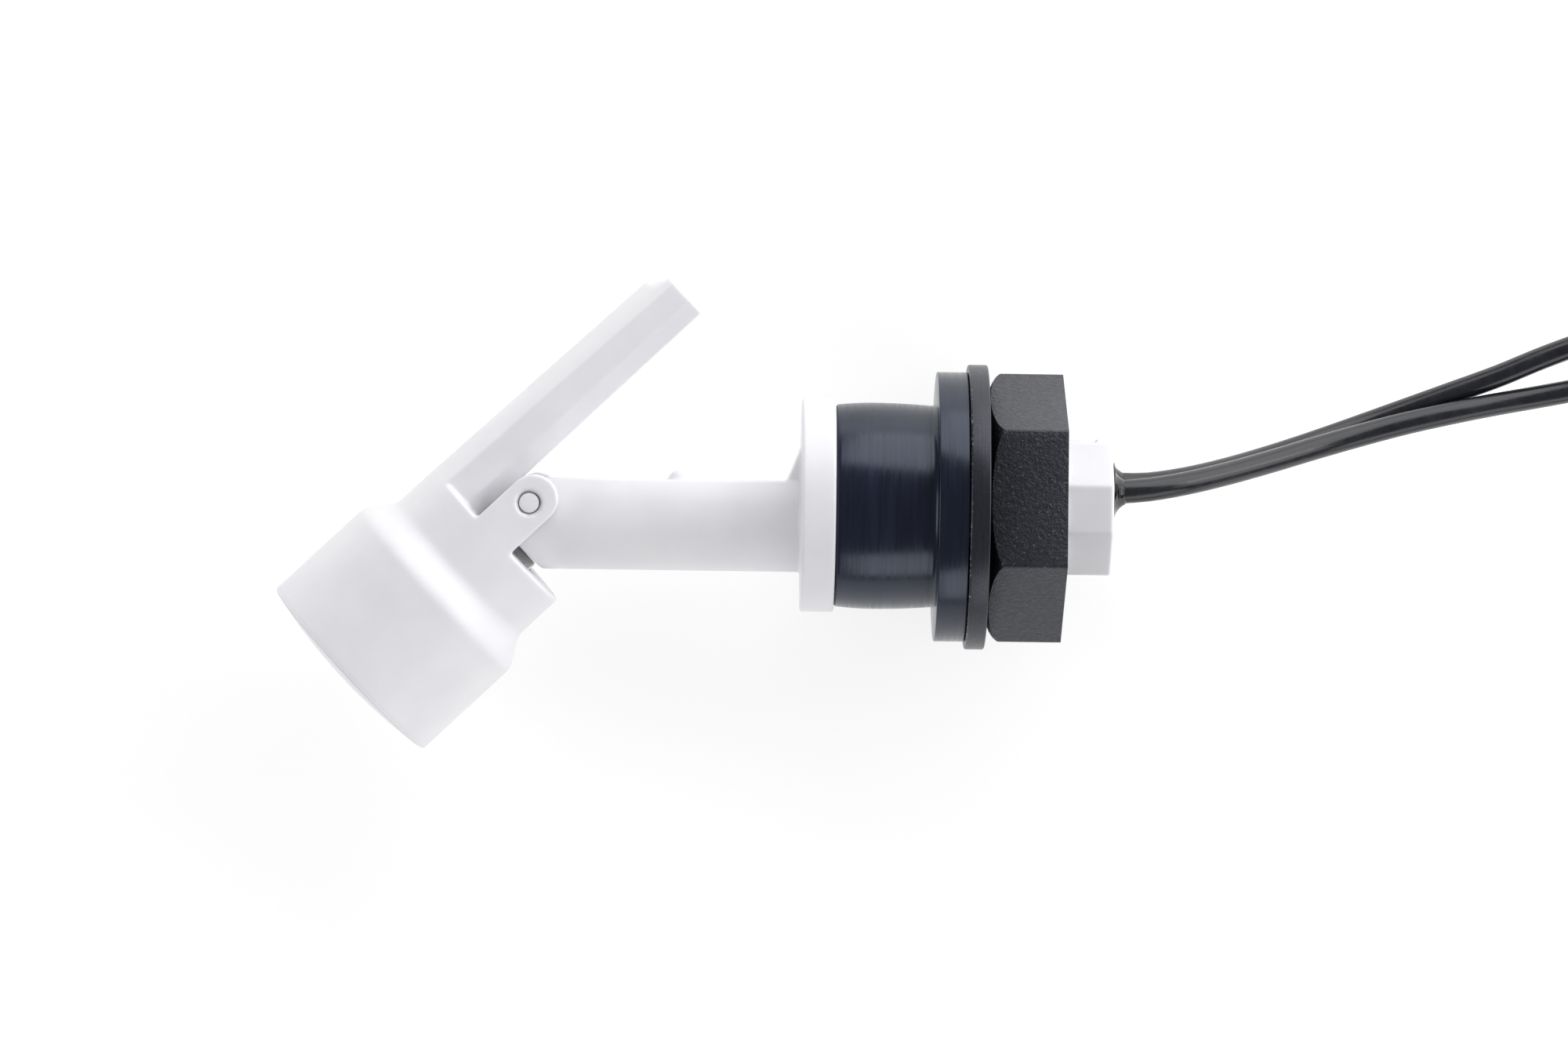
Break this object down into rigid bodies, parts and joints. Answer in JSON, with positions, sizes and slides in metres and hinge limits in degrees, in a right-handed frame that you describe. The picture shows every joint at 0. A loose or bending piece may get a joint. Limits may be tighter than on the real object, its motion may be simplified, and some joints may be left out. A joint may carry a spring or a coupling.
{
  "type": "side-mounting float level switch",
  "caption": "White pivoting float on a stem that clamps in a tank wall by a rubber bush, thrust washer and hexagon nut, with two loose leads.",
  "frame": {"origin": "on the switch axis, in the plane where the bush flange bears on the outside of the tank wall", "axes": "+X along the axis from the float to the leads, +Y is up when installed, +Z runs along the float's hinge pin and is up while the switch lies on a table"},
  "size_m": [0.208, 0.0633, 0.03],
  "materials": {
    "white_plastic": "fine matt moulded polypropylene, cool white",
    "rubber": "smooth blue-black rubber with fine turning lines",
    "washer_plastic": "satin charcoal with fine turning lines",
    "nut_plastic": "charcoal glass-filled nylon with a grained surface",
    "lead_insulation": "satin charcoal insulation",
    "potting": "glossy black potting resin",
    "nickel": "bright nickel plate",
    "tinned_copper": "tinned copper",
    "reed_glass": "greenish clear glass",
    "sleeve_plastic": "satin red insulating sleeve",
    "tie_plastic": "satin black band"
  },
  "bodies": {
    "switch": {"switch_body": "white_plastic", "pivot_pin": "white_plastic", "compression_bush": "rubber", "potting_plug": "potting", "reed_glass": "reed_glass", "reed_blade_front": "nickel", "reed_blade_rear": "nickel", "link_wire_front": "tinned_copper", "link_wire_rear": "tinned_copper", "insulating_sleeve": "sleeve_plastic", "crimp_front": "tinned_copper", "crimp_rear": "tinned_copper", "conductor_front": "tinned_copper", "conductor_rear": "tinned_copper", "lead_front": "lead_insulation", "lead_rear": "lead_insulation", "lead_coil_front": "lead_insulation", "lead_coil_rear": "lead_insulation", "lead_tail_front": "lead_insulation", "lead_tail_rear": "lead_insulation", "bare_end_front": "tinned_copper", "bare_end_rear": "tinned_copper", "coil_tie": "tie_plastic"},
    "float": {"float_shell": "white_plastic", "float_end_cap": "white_plastic", "float_magnet": "nickel"},
    "washer": {"thrust_washer": "washer_plastic"},
    "nut": {"compression_nut": "nut_plastic"}
  },
  "joints": [
    {"name": "float_pivot", "type": "hinge", "parent": "switch", "child": "float", "pos_m": [-0.0425, 0, 0], "axis": [0, 0, -1], "range_deg": [0, 39]},
    {"name": "washer_travel", "type": "slide", "parent": "switch", "child": "washer", "axis": [1, 0, 0], "range_m": [0, 0.0027]},
    {"name": "nut_turn", "type": "hinge", "parent": "washer", "child": "nut", "pos_m": [0.0095, 0, 0], "axis": [1, 0, 0], "range_deg": [0, 720]}
  ],
  "couplings": [
    {"joint": "washer_travel", "follows": "nut_turn", "m_per_rad": 0.00021279}
  ]
}
